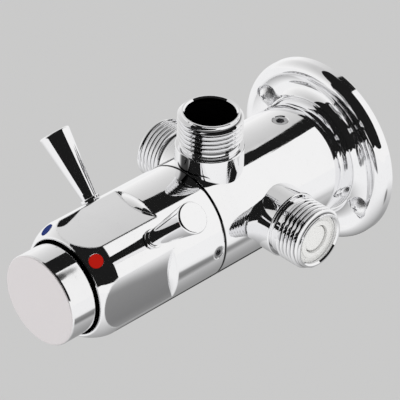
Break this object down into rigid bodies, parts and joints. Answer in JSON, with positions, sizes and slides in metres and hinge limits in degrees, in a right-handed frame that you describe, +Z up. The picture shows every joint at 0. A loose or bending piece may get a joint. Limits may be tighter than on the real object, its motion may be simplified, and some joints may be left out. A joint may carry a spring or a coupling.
{
  "type": "timed shower mixer",
  "caption": "Wall-mounted shower mixer with a push button that closes by itself, a flatted control sleeve with levers, threaded inlet and outlet stubs and a round wall rosette.",
  "frame": {"origin": "middle of the wall face of the flange, on the axis of the body", "axes": "+Y into the wall along the body's axis, +Z up along the outlet, +X to the right seen from the front"},
  "size_m": [0.0732, 0.1354, 0.0686],
  "materials": {
    "chrome": "polished",
    "button_metal": "satin face with a polished side",
    "steel": "bright turned",
    "grub_steel": "dark",
    "brass": "turned",
    "white_plastic": "smooth",
    "rubber": "matte",
    "red": "gloss",
    "blue": "gloss"
  },
  "bodies": {
    "valve_body": {"valve_body": "chrome", "wall_flange": "chrome", "wall_rosette": "chrome", "wall_screws": "steel", "body_grub_screw": "grub_steel", "retaining_nut": "brass", "check_valve_housing_right": "white_plastic", "check_valve_seal_right": "rubber", "check_valve_spring_right": "steel", "check_valve_housing_left": "white_plastic", "check_valve_seal_left": "rubber", "check_valve_spring_left": "steel"},
    "control": {"control_sleeve": "chrome", "lever_left": "chrome", "lever_right": "chrome", "red_dot": "red", "blue_dot": "blue", "sleeve_grub_screw": "grub_steel", "mixing_spool": "brass", "spool_seals": "rubber", "timer_barrel": "white_plastic", "barrel_cap": "brass", "spindle_seal": "rubber", "timing_needle": "steel", "return_spring": "steel"},
    "push_button": {"push_button": "button_metal", "spindle": "steel", "timer_piston": "white_plastic", "piston_cup_seal": "rubber", "valve_disc": "rubber", "disc_washer": "steel", "disc_nut": "brass"},
    "check_poppet_right": {"check_valve_poppet_right": "white_plastic"},
    "check_poppet_left": {"check_valve_poppet_left": "white_plastic"}
  },
  "joints": [
    {"name": "sleeve_turn", "type": "hinge", "parent": "valve_body", "child": "control", "pos_m": [0, 0, 0], "axis": [0, 1, 0], "range_deg": [-45, 45]},
    {"name": "button_push", "type": "slide", "parent": "control", "child": "push_button", "axis": [0, 1, 0], "range_m": [0, 0.0065], "stiffness_N_per_m": 1500, "springref_m": -0.008, "deforming": ["return_spring"]},
    {"name": "check_lift_right", "type": "slide", "parent": "valve_body", "child": "check_poppet_right", "axis": [-1, 0, 0], "range_m": [0, 0.003], "stiffness_N_per_m": 60, "springref_m": -0.002, "deforming": ["check_valve_spring_right"]},
    {"name": "check_lift_left", "type": "slide", "parent": "valve_body", "child": "check_poppet_left", "axis": [1, 0, 0], "range_m": [0, 0.003], "stiffness_N_per_m": 60, "springref_m": -0.002, "deforming": ["check_valve_spring_left"]}
  ]
}
